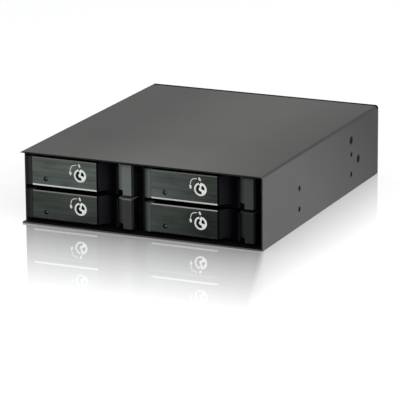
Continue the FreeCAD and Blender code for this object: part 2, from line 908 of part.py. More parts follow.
def bracket_tabs():
    """Tabs of the brackets where they pass through the board."""
    right = inner_half - bracket_foot + bracket_tab_inset
    tabs = []
    for low in (bracket_low + bracket_tab_inset, bracket_high - bracket_tab_inset - bracket_tab):
        tab = block(
            right - bracket_sheet, right, board_front, board_back, low, low + bracket_tab)
        tabs += both_sides(tab)
    return tabs


def board_brackets():
    """Angles that tie the board to the side walls, clear of the device mounting holes."""
    plan = [
        (inner_half - bracket_foot, board_back),
        (inner_half, board_back),
        (inner_half, board_back + bracket_leg),
        (inner_half - bracket_sheet, board_back + bracket_leg),
        (inner_half - bracket_sheet, board_back + bracket_sheet),
        (inner_half - bracket_foot, board_back + bracket_sheet),
    ]
    angle = upward(plan, bracket_low, bracket_high)
    hole_depth = side_hole_depths[1]
    cuts = []
    for z in side_hole_heights:
        cuts.append(block(
            inner_half - bracket_sheet, inner_half, hole_depth - bracket_clearance,
            hole_depth + bracket_clearance, z - bracket_clearance, z + bracket_clearance))
    tabs = bracket_tabs()
    pieces = both_sides(angle.cut(cuts))
    return [pieces[0].fuse(tabs[0::2]), pieces[1].fuse(tabs[1::2])]


# ---- Fan ----

def fan_frame():
    """Square fan housing with its round duct, struts and bearing block."""
    half = fan_size / 2
    z = fan_middle_height
    body = block(-half, half, fan_front, rear_wall, z - half, z + half)
    body = body.cut(rod(0, fan_front, z, fan_duct_radius, fan_depth, along_y))
    strut_front = rear_wall - fan_strut_depth
    hub_end = fan_front + fan_hub_inset + fan_hub_depth
    bearing_front = hub_end + fan_tip_gap
    bearing = block(
        -fan_bearing_half, fan_bearing_half, bearing_front, rear_wall,
        z - fan_bearing_half, z + fan_bearing_half)
    pieces = [bearing]
    for i in range(fan_struts):
        strut = block(
            0, fan_duct_radius + fan_tip_gap, strut_front, rear_wall,
            z - fan_strut_width / 2, z + fan_strut_width / 2)
        strut.rotate(Vector(0, 0, z), along_y, 90 + i * 360 / fan_struts)
        pieces.append(strut)
    bore = rod(
        0, bearing_front, z, fan_shaft_radius + fan_shaft_clearance, fan_depth, along_y)
    return body.fuse(pieces).cut(bore).removeSplitter()


def fan_rotor():
    """Hub with its shaft and a ring of bowed, pitched blades that clear the duct."""
    z = fan_middle_height
    front = fan_front + fan_hub_inset
    hub = rod(0, front, z, fan_hub_radius, fan_hub_depth, along_y)
    shaft_start = front + fan_hub_depth
    shaft = rod(0, shaft_start, z, fan_shaft_radius, rear_wall - shaft_start, along_y)
    middle = front + fan_hub_depth / 2
    half = fan_blade_chord / 2
    section = strip([(-half, 0), (0, fan_blade_bow), (half, 0)], fan_blade_thickness)
    tip = math.sqrt((fan_duct_radius - fan_tip_gap) ** 2 - half ** 2)
    corners = [Vector(0, middle + b, z + a) for a, b in section]
    start = Vector(fan_hub_radius / 2, 0, 0)
    blade = prism(corners, start, Vector(tip - fan_hub_radius / 2, 0, 0))
    blade.rotate(Vector(0, middle, z), along_x, fan_blade_angle)
    blades = []
    for i in range(fan_blades):
        copy = blade.copy()
        copy.rotate(Vector(0, 0, z), along_y, i * 360 / fan_blades)
        blades.append(copy)
    return hub.fuse([shaft] + blades).removeSplitter()


# ---- Files ----

def write(name, solids):
    shape = solids[0] if len(solids) == 1 else Part.makeCompound(solids)
    shape = shape.copy()
    shape.translate(Vector(0, -case_depth / 2, 0))
    shape.exportStep("parts/" + name + ".step")


tray_pieces = {
    "pan": pan(),
    "bezel": bezel(),
    "lever": lever(),
    "faceplate": faceplate(),
    "latch": latch(),
    "latch_spring": latch_spring(),
    "hinge_pin": hinge_pin(),
    "lock_barrel": lock_barrel(),
    "lock_plug": lock_plug(),
    "light_pipe": light_pipe(),
}
tray_number = 0
for column in range(columns):
    for row in reversed(range(rows)):
        tray_number += 1
        place = Vector(bay_left(column), 0, bay_floor(row))
        for piece, shape in tray_pieces.items():
            seated = shape.copy()
            seated.translate(place)
            write("tray_%d_%s" % (tray_number, piece), [seated])

case_pieces = {
    "top_cover": [top_cover()],
    "base_plate": [base_plate()],
    "centre_divider": [centre_divider()],
    "shelf_left": [shelf(0)],
    "shelf_right": [shelf(columns - 1)],
    "backplane_board": [backplane_board()],
    "drive_sockets": [drive_socket(column, row) for column in range(columns) for row in range(rows)],
    "data_ports": data_ports(),
    "power_inlets": power_inlets(),
    "status_leds": status_leds(),
    "capacitor": [capacitor()],
    "fan_header": [fan_header()],
    "board_brackets": board_brackets(),
    "case_rivets": case_rivets(),
    "fan_frame": [fan_frame()],
    "fan_rotor": [fan_rotor()],
}
for name, solids in case_pieces.items():
    write(name, solids)
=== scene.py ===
import json
import math
import bmesh
import bpy
from mathutils import Matrix, Vector

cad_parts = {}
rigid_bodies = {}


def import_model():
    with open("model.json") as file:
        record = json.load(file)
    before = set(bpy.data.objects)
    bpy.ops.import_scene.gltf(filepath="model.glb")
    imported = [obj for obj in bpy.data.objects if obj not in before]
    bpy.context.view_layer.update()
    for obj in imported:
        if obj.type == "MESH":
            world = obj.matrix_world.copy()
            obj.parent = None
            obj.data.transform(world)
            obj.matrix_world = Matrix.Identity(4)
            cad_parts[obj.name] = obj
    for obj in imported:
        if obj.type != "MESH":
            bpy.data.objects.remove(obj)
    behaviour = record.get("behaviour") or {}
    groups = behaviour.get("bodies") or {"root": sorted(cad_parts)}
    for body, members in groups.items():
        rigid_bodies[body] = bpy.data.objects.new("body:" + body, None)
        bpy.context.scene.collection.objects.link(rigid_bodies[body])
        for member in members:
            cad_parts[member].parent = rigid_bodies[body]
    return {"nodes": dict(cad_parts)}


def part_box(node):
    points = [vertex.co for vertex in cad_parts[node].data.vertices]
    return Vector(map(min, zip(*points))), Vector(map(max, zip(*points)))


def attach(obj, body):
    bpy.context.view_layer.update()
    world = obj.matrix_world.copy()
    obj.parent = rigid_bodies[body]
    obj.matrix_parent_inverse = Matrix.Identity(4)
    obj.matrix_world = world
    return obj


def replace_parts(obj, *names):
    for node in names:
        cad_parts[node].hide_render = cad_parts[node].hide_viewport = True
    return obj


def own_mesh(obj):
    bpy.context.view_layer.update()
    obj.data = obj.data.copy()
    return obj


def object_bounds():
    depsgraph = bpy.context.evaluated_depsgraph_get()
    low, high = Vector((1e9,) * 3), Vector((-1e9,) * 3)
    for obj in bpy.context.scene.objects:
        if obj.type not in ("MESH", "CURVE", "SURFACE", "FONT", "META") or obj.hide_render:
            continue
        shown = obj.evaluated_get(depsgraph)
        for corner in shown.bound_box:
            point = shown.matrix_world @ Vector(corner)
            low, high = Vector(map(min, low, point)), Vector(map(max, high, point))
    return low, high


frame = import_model()
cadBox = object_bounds()
nodes = frame["nodes"]
mm = 0.001
trayNumbers = (1, 2, 3, 4)
rowBoundary = (cadBox[0].z + cadBox[1].z) / 2
sceneObjects = bpy.context.scene.collection.objects
print("frame loaded:", len(nodes), "nodes")


# Node trees: a Value is one socket, and maths on it adds Math nodes

class Value:
    def __init__(self, tree, socket):
        self.tree = tree
        self.socket = socket

    def maths(self, operation, first, second=0.0):
        inputs = {"Value": first, "Value_001": second}
        return self.tree.add("ShaderNodeMath", {"operation": operation}, inputs)["Value"]

    def __add__(self, other):
        return self.maths("ADD", self, other)

    def __radd__(self, other):
        return self.maths("ADD", other, self)

    def __sub__(self, other):
        return self.maths("SUBTRACT", self, other)

    def __rsub__(self, other):
        return self.maths("SUBTRACT", other, self)

    def __mul__(self, other):
        return self.maths("MULTIPLY", self, other)

    def __rmul__(self, other):
        return self.maths("MULTIPLY", other, self)

    def __gt__(self, other):
        return self.maths("GREATER_THAN", self, other)

    def __lt__(self, other):
        return self.maths("LESS_THAN", self, other)

    def __abs__(self):
        return self.maths("ABSOLUTE", self)

    def larger(self, other):
        return self.maths("MAXIMUM", self, other)

    def smaller(self, other):
        return self.maths("MINIMUM", self, other)

    def held(self):
        return self.maths("MINIMUM", self.maths("MAXIMUM", self, 0.0), 1.0)


class NodeTree:
    def __init__(self, tree):
        self.tree = tree
        tree.nodes.clear()

    def add(self, kind, settings, inputs):
        node = self.tree.nodes.new(kind)
        for name, value in settings.items():
            if name == "stops":
                ramp = node.color_ramp
                for place, colour in value[1:-1]:
                    ramp.elements.new(place).color = colour
                for element, (place, colour) in zip(ramp.elements, value):
                    element.position = place
                    element.color = colour
            else:
                setattr(node, name, value)
        sockets = {socket.identifier: socket for socket in node.inputs}
        for name, value in inputs.items():
            if isinstance(value, Value):
                self.tree.links.new(value.socket, sockets[name])
            else:
                sockets[name].default_value = value
        return {socket.identifier: Value(self, socket) for socket in node.outputs}


fineDetail = 2.0
cloudDetail = 3.0
evenStretch = (1, 1, 1)


class Finish(NodeTree):
    def __init__(self, name):
        self.material = bpy.data.materials.new(name)
        self.material.use_nodes = True
        super().__init__(self.material.node_tree)
        self.object = self.add("ShaderNodeTexCoord", {}, {})

    def axes(self, output="Object"):
        split = self.add("ShaderNodeSeparateXYZ", {}, {"Vector": self.object[output]})
        return split["X"], split["Y"], split["Z"]

    def grain(self, scale, detail=fineDetail, stretch=evenStretch):
        placed = self.add("ShaderNodeMapping", {}, {"Vector": self.object["Object"], "Scale": stretch})
        inputs = {"Vector": placed["Vector"], "Scale": scale, "Detail": detail}
        return self.add("ShaderNodeTexNoise", {}, inputs)["Fac"]

    def byTray(self, tones):
        # one number for each tray, told apart by column and row
        x, _, z = self.axes()
        right = x > 0.0
        upper = z > rowBoundary
        leftUpper, leftLower, rightUpper, rightLower = tones
        lowerRow = spread(right, leftLower, rightLower)
        return lowerRow + upper * (spread(right, leftUpper, rightUpper) - lowerRow)

    def toned(self, tone, colour):
        return self.blend(tone, (0.0, 0.0, 0.0), colour)

    def blend(self, factor, first, second):
        return self.add("ShaderNodeMix", {"data_type": "RGBA"}, {
            "Factor_Float": factor, "A_Color": shade(first), "B_Color": shade(second)})["Result_Color"]

    def bump(self, height, distance):
        return self.add("ShaderNodeBump", {}, {"Height": height, "Distance": distance})["Normal"]

    def principled(self, inputs):
        return self.add("ShaderNodeBsdfPrincipled", {}, inputs)["BSDF"]

    def end(self, shader):
        self.add("ShaderNodeOutputMaterial", {}, {"Surface": shader})
        return self.material


fullWhite = (1.0, 1.0, 1.0)


def shade(colour):
    return colour if isinstance(colour, Value) else (*colour, 1.0)


def spread(value, low, high):
    return low + value * (high - low)


def sharpened(value, gain):
    # steeper about its middle, and held between 0 and 1
    return ((value - 0.5) * gain + 0.5).held()


# Finishes that differ only in colour, gloss and grain. Cloud and grain are counts per metre.
plainDefaults = {"metallic": 0.0, "specular": 0.3, "stretch": evenStretch}
plainFinishes = {
    # innerCoat: near-black on the divider, shelves and board brackets, painted shade for the dark inside of
    # the case
    "innerCoat": {
        "light": (0.006, 0.006, 0.007), "dark": (0.003, 0.003, 0.004), "cloud": 60,
        "specular": 0.05, "roughness": (0.45, 0.58), "grain": 3600, "depth": 0.010 * mm},
    "trayZinc": {
        "light": (0.60, 0.61, 0.62), "dark": (0.46, 0.47, 0.48), "cloud": 210, "metallic": 0.9,
        "roughness": (0.28, 0.42), "grain": 900, "stretch": (1, 0.2, 1), "depth": 0.004 * mm},
    "blackMoulding": {
        "light": (0.0040, 0.0040, 0.0052), "dark": (0.0020, 0.0020, 0.0028), "cloud": 260,
        "specular": 0.02, "roughness": (0.45, 0.60), "grain": 4200, "depth": 0.012 * mm},
    "springSteel": {
        "light": (0.62, 0.62, 0.63), "dark": (0.46, 0.46, 0.47), "cloud": 400, "metallic": 1.0,
        "roughness": (0.22, 0.34), "grain": 2500, "stretch": (1, 1, 0.2), "depth": 0.003 * mm},
    "groundSteel": {
        "light": (0.66, 0.66, 0.67), "dark": (0.52, 0.52, 0.53), "cloud": 500, "metallic": 1.0,
        "roughness": (0.18, 0.30), "grain": 3000, "stretch": (1, 1, 0.1), "depth": 0.003 * mm},
    "socketBlack": {
        "light": (0.022, 0.022, 0.024), "dark": (0.014, 0.014, 0.016), "cloud": 300,
        "roughness": (0.38, 0.50), "grain": 3600, "depth": 0.008 * mm},
    "inletGrey": {
        "light": (0.070, 0.070, 0.074), "dark": (0.052, 0.052, 0.056), "cloud": 300,
        "roughness": (0.38, 0.50), "grain": 3600, "depth": 0.008 * mm},
    "headerCream": {
        "light": (0.74, 0.71, 0.62), "dark": (0.66, 0.63, 0.54), "cloud": 500,
        "roughness": (0.34, 0.46), "grain": 3600, "depth": 0.008 * mm},
    "canAluminium": {
        "light": (0.68, 0.69, 0.70), "dark": (0.56, 0.57, 0.58), "cloud": 500, "metallic": 1.0,
        "roughness": (0.26, 0.38), "grain": 2600, "stretch": (1, 0.1, 1), "depth": 0.003 * mm},
    "rivetBlack": {
        "light": (0.004, 0.004, 0.005), "dark": (0.002, 0.002, 0.003), "cloud": 500,
        "specular": 0.03, "roughness": (0.42, 0.56), "grain": 3600, "depth": 0.008 * mm},
    "fanBlack": {
        "light": (0.020, 0.020, 0.021), "dark": (0.012, 0.012, 0.013), "cloud": 260,
        "roughness": (0.34, 0.48), "grain": 3000, "depth": 0.010 * mm},
    "lockInk": {
        "light": (0.80, 0.81, 0.79), "dark": (0.62, 0.63, 0.62), "cloud": 900,
        "roughness": (0.45, 0.58), "grain": 5200, "depth": 0.004 * mm},
    "contactGold": {
        "light": (0.86, 0.64, 0.30), "dark": (0.70, 0.50, 0.22), "cloud": 900, "metallic": 1.0,
        "roughness": (0.20, 0.32), "grain": 3000, "depth": 0.002 * mm},
    "chipCeramic": {
        "light": (0.10, 0.085, 0.070), "dark": (0.030, 0.028, 0.026), "cloud": 260,
        "roughness": (0.35, 0.50), "grain": 4200, "depth": 0.004 * mm},
}


def plainFinish(name, changes):
    look = {**plainDefaults, **changes}
    finish = Finish(name)
    cloud = finish.grain(look["cloud"], cloudDetail)
    fine = finish.grain(look["grain"], fineDetail, look["stretch"])
    return finish.end(finish.principled({
        "Base Color": finish.blend(cloud, look["dark"], look["light"]),
        "Metallic": look["metallic"],
        "Specular IOR Level": look["specular"],
        "Roughness": spread(fine, *look["roughness"]),
        "Normal": finish.bump(fine, look["depth"])}))


finishes = {name: plainFinish(name, look) for name, look in plainFinishes.items()}


# Case: a satin grey coat outside. Within the case, in the side holes and on the cut front edges it is
# near-black, painted shadow, and the base plate's front edge at the floor is a darker grey (the sill).
# As painted shade, the roof darkens towards the back and outwards, and the walls towards the back and
# upwards:
# topShade is back then front, wallShade front then back. The walls are a slightly bluer copy of the coat, a
# painted tint for the light on them.
# The rim is painted shade: a dark strip along the roof's rear and left edges.
caseLook = {
    "light": (0.107, 0.108, 0.098), "dark": (0.089, 0.090, 0.082),
    "wallLight": (0.106, 0.105, 0.110), "wallDark": (0.090, 0.089, 0.092),
    # inside is the painted shadow colour; sill is the base plate's front edge at the floor
    "inside": (0.005, 0.005, 0.006), "sill": (0.075, 0.075, 0.078),
    "cloud": 28, "grain": 3600, "roughness": (0.42, 0.52), "specular": 0.2, "depth": 0.012 * mm,
    "reach": 0.05 * mm, "leftSetback": 5.75 * mm, "levelTurn": 0.5,
    "topShade": (0.68, 0.95), "topFade": 50 * mm, "topMiddle": 14 * mm,
    "edgeStart": 15 * mm, "edgeFade": 40 * mm, "edgeShade": 0.5,
    "wallShade": (1.30, 0.22), "wallStart": -70 * mm, "wallFade": 155 * mm, "wallLean": 1.2,
    "holesBack": (52.4 * mm, 131.65 * mm), "holesUp": (10.0 * mm, 21.84 * mm), "holeRadius": 1.8 * mm,
    "rim": 2.8 * mm, "fold": 1.8 * mm, "rimShade": 0.92, "paintedRimShade": (0.010, 0.010, 0.010),
    "paintedRimShadeGrain": (0.6, 1.0)}


def caseFinish(look):
    finish = Finish("caseCoat")
    x, y, z = finish.axes()
    reach = look["reach"]
    front, back = cadBox[0].y, cadBox[1].y
    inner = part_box("base_plate")[1]
    sheet = cadBox[1].x - inner.x
    within = (abs(x) < inner.x + reach) * (z < inner.z + reach) * (z > reach) * (y < back - sheet + reach)
    frontEdge = y < front + reach
    setbackEdge = (x < -inner.x) * (z < inner.z) * (abs(y - (front + look["leftSetback"])) < reach)
    aside = abs(y - front - look["holesBack"][0]).smaller(abs(y - front - look["holesBack"][1]))
    above = abs(z - look["holesUp"][0]).smaller(abs(z - look["holesUp"][1]))
    hole = (abs(x) > inner.x - reach) * (aside * aside + above * above < look["holeRadius"] ** 2)
    # painted shadow: near-black within the case, on the cut front edges, on the left wall's set-back edge and
    # in the side holes
    black = within.larger(frontEdge).larger(setbackEdge).larger(hole)
    # painted shade: the strip along the roof's rear and left edges
    rim = (y > back - look["rim"]).larger(x < look["fold"] - cadBox[1].x) * (z > cadBox[1].z - look["fold"])
    fine = finish.grain(look["grain"])
    clouds = finish.grain(look["cloud"], cloudDetail)
    level = abs(finish.axes("Normal")[2]) > look["levelTurn"]
    # painted light: the walls wear a slightly bluer copy of the coat, a tint for the light on them
    wall = finish.blend(clouds, look["wallDark"], look["wallLight"])
    coat = finish.blend(level, wall, finish.blend(clouds, look["dark"], look["light"]))
    # painted shade: the roof darker towards the back and away from its middle line, the walls darker towards
    # the back and upwards
    frontness = 1.0 - ((y - front) * (1 / look["topFade"])).held()
    outness = ((abs(x - look["topMiddle"]) - look["edgeStart"]) * (1 / look["edgeFade"])).held()
    topTone = spread(frontness, *look["topShade"]) * (1.0 - outness * look["edgeShade"])
    past = y - look["wallStart"] + (z - rowBoundary) * look["wallLean"]
    wallTone = spread((past * (1 / look["wallFade"])).held(), *look["wallShade"])
    coat = finish.toned(wallTone + level * (topTone - wallTone), coat)
    colour = finish.blend(black, coat, look["inside"])
    coated = finish.principled({
        "Base Color": finish.blend(frontEdge * (z < sheet + reach), colour, look["sill"]),
        "Specular IOR Level": look["specular"],
        "Roughness": spread(fine, *look["roughness"]),
        "Normal": finish.bump(fine, look["depth"])})
    # the painted rim shade is a dull near-black diffuse, mixed in over the coat
    paintedRimShade = finish.add("ShaderNodeBsdfDiffuse", {}, {
        "Color": finish.toned(spread(fine, *look["paintedRimShadeGrain"]), look["paintedRimShade"])})
    return finish.end(finish.add("ShaderNodeMixShader", {}, {
        "Fac": rim * look["rimShade"], "Shader": coated, "Shader_001": paintedRimShade["BSDF"]})["Shader"])


finishes["caseCoat"] = caseFinish(caseLook)


# Faceplates: brushed along their length, with the long edges cut back and polished.
# Tones are painted shade for the left upper, left lower, right upper and right lower tray, and each face
# fades darker to the right as a painted sheen. Inner and outer tones paint reflections on the cut edges;
# inner edges are those where the two rows meet.
faceplateLook = {
    "light": (0.116, 0.138, 0.121), "dark": (0.043, 0.050, 0.049), "streaks": 1300,
    "streakStretch": (0.012, 1, 1), "clouds": 170, "cloudStretch": (0.35, 1, 1), "cloudShare": 0.45,
    "gain": 2.6, "roughness": (0.24, 0.40), "depth": 0.006 * mm,
    "tones": (0.93, 0.48, 0.98, 0.60), "fadeStart": 8 * mm, "fadeLength": 30 * mm, "fade": 0.62,
    "edge": (0.92, 0.92, 0.90), "edgeTurn": 0.2, "edgeRoughness": 0.22,
    "innerTones": (0.72, 0.21, 0.66, 0.36), "outerTones": (0.16, 0.32, 0.14, 0.32)}


def faceplateFinish(look):
    finish = Finish("brushedFaceplate")
    x, _, z = finish.axes()
    streaks = sharpened(finish.grain(look["streaks"], cloudDetail, look["streakStretch"]), look["gain"])
    clouds = sharpened(finish.grain(look["clouds"], cloudDetail, look["cloudStretch"]), look["gain"])
    normalZ = finish.axes("Normal")[2]
    facet = abs(normalZ) > look["edgeTurn"]
    facingDown = normalZ < 0.0
    inner = 1.0 - abs((z > rowBoundary) - facingDown)
    # painted reflection: the cut edges' brightness for each tray and for the row they face
    outerTone = finish.byTray(look["outerTones"])
    edgeTone = outerTone + inner * (finish.byTray(look["innerTones"]) - outerTone)
    # painted shade and sheen: each tray's own level, fading darker to the right
    along = ((x - look["fadeStart"]) * (1 / look["fadeLength"])).held()
    tone = finish.byTray(look["tones"]) * (1.0 - along * look["fade"])
    brushed = finish.blend(spread(look["cloudShare"], streaks, clouds), look["dark"], look["light"])
    face = finish.toned(tone, brushed)
    gloss = spread(streaks, *look["roughness"])
    return finish.end(finish.principled({
        "Base Color": finish.blend(facet, face, finish.toned(edgeTone, look["edge"])),
        "Metallic": 1.0,
        "Roughness": gloss + facet * (look["edgeRoughness"] - gloss),
        "Normal": finish.bump(streaks * (1.0 - facet), look["depth"])}))


finishes["brushedFaceplate"] = faceplateFinish(faceplateLook)


# Levers: dark satin, greyer where they face right as painted light, with a hinge barrel painted pale as a
# highlight that grows to the right, at a painted shade level for each tray.
# "columns" names one tray of each column.
leverLook = {
    "light": (0.0024, 0.0024, 0.0038), "dark": (0.0012, 0.0012, 0.002), "turned": (0.016, 0.016, 0.019),
    "barrel": (0.165, 0.183, 0.180), "barrelTones": (0.27, 0.25, 1.05, 0.68), "cloud": 190, "grain": 4600,
    "roughness": (0.42, 0.54), "specular": 0.01, "depth": 0.006 * mm, "columns": (1, 3)}


def leverFinish(look):
    finish = Finish("leverSatin")
    x = finish.axes()[0]
    # painted highlight: a ramp across each hinge barrel, paler to the right
    paintedBarrelHighlight = 0.0
    for number in look["columns"]:
        # the barrel starts where the lever does and has the pin in its middle
        low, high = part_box(f"tray_{number}_hinge_pin")
        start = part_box(f"tray_{number}_lever")[0].x
        width = low.x + high.x - 2 * start
        across = (x - start) * (1 / width)
        paintedBarrelHighlight = across.held() * (across < 1.0) + paintedBarrelHighlight
    fine = finish.grain(look["grain"])
    plain = finish.blend(finish.grain(look["cloud"], cloudDetail), look["dark"], look["light"])
    # painted light: faces turned to the right take the greyer colour
    plain = finish.blend(finish.axes("Normal")[0].held(), plain, look["turned"])
    # painted shade: the barrel's level for each tray
    barrel = finish.toned(finish.byTray(look["barrelTones"]), look["barrel"])
    return finish.end(finish.principled({
        "Base Color": finish.blend(paintedBarrelHighlight, plain, barrel),
        "Specular IOR Level": look["specular"],
        "Roughness": spread(fine, *look["roughness"]),
        "Normal": finish.bump(fine, look["depth"])}))


finishes["leverSatin"] = leverFinish(leverLook)


# Latches: satin grey in front, with painted shade down their right sides, a painted highlight where the two
# rows meet, and a painted shade level for each tray
latchLook = {
    "light": (0.165, 0.182, 0.172), "dark": (0.125, 0.140, 0.134), "tones": (0.92, 0.23, 0.30, 0.083),
    "rimTones": (1.5, 4.2, 1.1, 1.9), "rim": 1.4 * mm, "side": 0.06, "sideTurn": 0.45,
    "cloud": 240, "grain": 4600, "roughness": (0.38, 0.50), "specular": 0.12, "depth": 0.008 * mm}


def latchFinish(look):
    finish = Finish("latchSatin")
    fine = finish.grain(look["grain"])
    plain = finish.blend(finish.grain(look["cloud"], cloudDetail), look["dark"], look["light"])
    # painted shade on the sides that face right
    side = finish.axes("Normal")[0] > look["sideTurn"]
    # painted highlight along the edges where the two rows meet, over a painted shade level for each tray
    rim = abs(finish.axes()[2] - rowBoundary) < look["rim"]
    tone = finish.byTray(look["tones"]) * (1.0 + rim * (finish.byTray(look["rimTones"]) - 1.0))
    return finish.end(finish.principled({
        "Base Color": finish.toned(tone * (1.0 - side * (1 - look["side"])), plain),
        "Specular IOR Level": look["specular"],
        "Roughness": spread(fine, *look["roughness"]),
        "Normal": finish.bump(fine, look["depth"])}))


finishes["latchSatin"] = latchFinish(latchLook)


# Locks: polished metal in front, with painted shadow, dull and near-black, inside the bore and the keyways
lockLooks = {
    "lockChrome": {"node": "tray_1_lock_barrel", "faceDepth": 0.32 * mm},
    "lockPlugMetal": {"node": "tray_1_lock_plug", "faceDepth": 0.37 * mm}}
lockLook = {
    "light": (0.76, 0.78, 0.75), "dark": (0.58, 0.60, 0.58), "shadow": (0.004, 0.004, 0.005),
    "grain": 2600, "roughness": (0.12, 0.24), "shadowRoughness": 0.6, "depth": 0.002 * mm}


def lockFinish(name, place, look):
    finish = Finish(name)
    fine = finish.grain(look["grain"], cloudDetail)
    # painted shadow behind the front face: the bore and the keyways
    behind = finish.axes()[1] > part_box(place["node"])[0].y + place["faceDepth"]
    gloss = spread(fine, *look["roughness"])
    return finish.end(finish.principled({
        "Base Color": finish.blend(behind, finish.blend(fine, look["dark"], look["light"]), look["shadow"]),
        "Metallic": 1.0 - behind,
        "Roughness": gloss + behind * (look["shadowRoughness"] - gloss),
        "Normal": finish.bump(fine, look["depth"])}))


for name, place in lockLooks.items():
    finishes[name] = lockFinish(name, place, lockLook)


# Backplane board: solder mask over a lattice of tracks
boardLook = {
    "mask": (0.010, 0.060, 0.026), "track": (0.022, 0.125, 0.052), "pitch": 1.4 * mm, "trackShare": 0.36,
    "patch": 90, "patchDetail": 1.0, "patchLevel": 0.5, "grain": 1800, "roughness": (0.22, 0.36),
    "depth": 0.03 * mm}


def boardFinish(look):
    finish = Finish("solderMask")
    x, _, z = finish.axes()
    half = look["pitch"] / 2
    width = half * look["trackShare"]
    upright = x.maths("PINGPONG", x, half) < width
    level = z.maths("PINGPONG", z, half) < width
    patch = finish.grain(look["patch"], look["patchDetail"]) > look["patchLevel"]
    tracks = upright * patch + level * (1.0 - patch)
    fine = finish.grain(look["grain"])
    return finish.end(finish.principled({
        "Base Color": finish.blend(tracks, look["mask"], look["track"]),
        "Roughness": spread(fine, *look["roughness"]),
        "Normal": finish.bump(tracks, look["depth"])}))


finishes["solderMask"] = boardFinish(boardLook)


# Clear mouldings: light guides, lamps and the lens in each indicator hole.
# "passes" is the share of light that goes through.
clearLooks = {
    "clearGuide": {
        "light": (0.86, 0.89, 0.90), "dark": (0.74, 0.78, 0.80), "passes": 0.85, "roughness": (0.06, 0.14)},
    "lampLens": {
        "light": (0.62, 0.86, 0.66), "dark": (0.50, 0.74, 0.56), "passes": 0.35, "roughness": (0.10, 0.20)},
    "smokedLens": {
        "light": (0.050, 0.060, 0.056), "dark": (0.026, 0.032, 0.030), "passes": 0.2,
        "roughness": (0.06, 0.12)},
}
clearGrain = 1500
clearIndex = 1.49


def clearFinish(name, look):
    finish = Finish(name)
    fine = finish.grain(clearGrain)
    return finish.end(finish.principled({
        "Base Color": finish.blend(fine, look["dark"], look["light"]),
        "Roughness": spread(fine, *look["roughness"]),
        "Transmission Weight": look["passes"],
        "IOR": clearIndex}))


finishes.update({name: clearFinish(name, look) for name, look in clearLooks.items()})
print("finishes made:", len(finishes))


# What each CAD node wears
trayFinishes = {
    "pan": "trayZinc", "bezel": "blackMoulding", "lever": "leverSatin", "faceplate": "brushedFaceplate",
    "latch": "latchSatin", "latch_spring": "springSteel", "hinge_pin": "groundSteel",
    "lock_barrel": "lockChrome", "lock_plug": "lockPlugMetal", "light_pipe": "clearGuide"}
caseFinishes = {
    # the divider, shelves and brackets wear the near-black painted shade
    "top_cover": "caseCoat", "base_plate": "caseCoat", "centre_divider": "innerCoat",
    "shelf_left": "innerCoat", "shelf_right": "innerCoat", "board_brackets": "innerCoat",
    "case_rivets": "rivetBlack", "backplane_board": "solderMask", "drive_sockets": "socketBlack",
    "data_ports": "socketBlack", "power_inlets": "inletGrey", "status_leds": "lampLens",
    "capacitor": "canAluminium", "fan_header": "headerCream", "fan_frame": "fanBlack",
    "fan_rotor": "fanBlack"}


def wear(piece, finishName):
    piece.data.materials.clear()
    piece.data.materials.append(finishes[finishName])
    for polygon in piece.data.polygons:
        polygon.material_index = 0


for number in trayNumbers:
    for part, finishName in trayFinishes.items():
        wear(nodes[f"tray_{number}_{part}"], finishName)
for name, finishName in caseFinishes.items():
    wear(nodes[name], finishName)
print("CAD nodes dressed")


# Shared ways of making pieces

def newPiece(name, mesh, finishName, body):
    mesh.name = name
    piece = bpy.data.objects.new(name, mesh)
    sceneObjects.link(piece)
    wear(piece, finishName)
    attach(piece, body)
    return piece


mergeDistance = 0.0001 * mm
sharpAngle = math.radians(30)


def copied(node):
    # a CAD node's mesh with its doubles merged and its corners kept sharp
    form = bmesh.new()
    form.from_mesh(nodes[node].data)
    bmesh.ops.remove_doubles(form, verts=form.verts, dist=mergeDistance)
    mesh = bpy.data.meshes.new("copied")
    form.to_mesh(mesh)
    form.free()
    storedNormals = mesh.attributes.get("custom_normal")
    if storedNormals:
        mesh.attributes.remove(storedNormals)
    mesh.set_sharp_from_angle(angle=sharpAngle)
    return mesh


def joined(meshes):
    form = bmesh.new()
    for mesh in meshes:
        form.from_mesh(mesh)
    whole = bpy.data.meshes.new("joined")
    form.to_mesh(whole)
    form.free()
    return whole


def slab(outlines, front, thickness):
    # closed plates from outlines of (x, z) points, standing forward of a plane that faces -Y
    form = bmesh.new()
    for outline in outlines:
        rings = []
        for y in (front, front - thickness):
            rings.append([form.verts.new((x, y, z)) for x, z in outline])
        form.faces.new(rings[0])
        form.faces.new(rings[1][::-1])
        for i in range(len(outline)):
            k = (i + 1) % len(outline)
            form.faces.new((rings[0][k], rings[0][i], rings[1][i], rings[1][k]))
    bmesh.ops.recalc_face_normals(form, faces=form.faces)
    mesh = bpy.data.meshes.new("slab")
    form.to_mesh(mesh)
    form.free()
    return mesh


def turned(profile, centre, count):
    # a round piece facing -Y: profile is (radius, depth behind the centre) from the axis outwards
    form = bmesh.new()
    rings = []
    for radius, depth in profile:
        ring = []
        for i in range(count if radius > 0 else 1):
            angle = 2 * math.pi * i / count
            place = Vector((radius * math.cos(angle), depth, radius * math.sin(angle)))
            ring.append(form.verts.new(centre + place))
        rings.append(ring)
    for inner, outer in zip(rings, rings[1:]):
        for i in range(count):
            k = (i + 1) % count
            corners = [ring[n % len(ring)] for ring, n in ((inner, i), (inner, k), (outer, k), (outer, i))]
            form.faces.new(list(dict.fromkeys(corners)))
    bmesh.ops.remove_doubles(form, verts=form.verts, dist=mergeDistance)
    bmesh.ops.recalc_face_normals(form, faces=form.faces)
    mesh = bpy.data.meshes.new("turned")
    form.to_mesh(mesh)
    form.free()
    return mesh


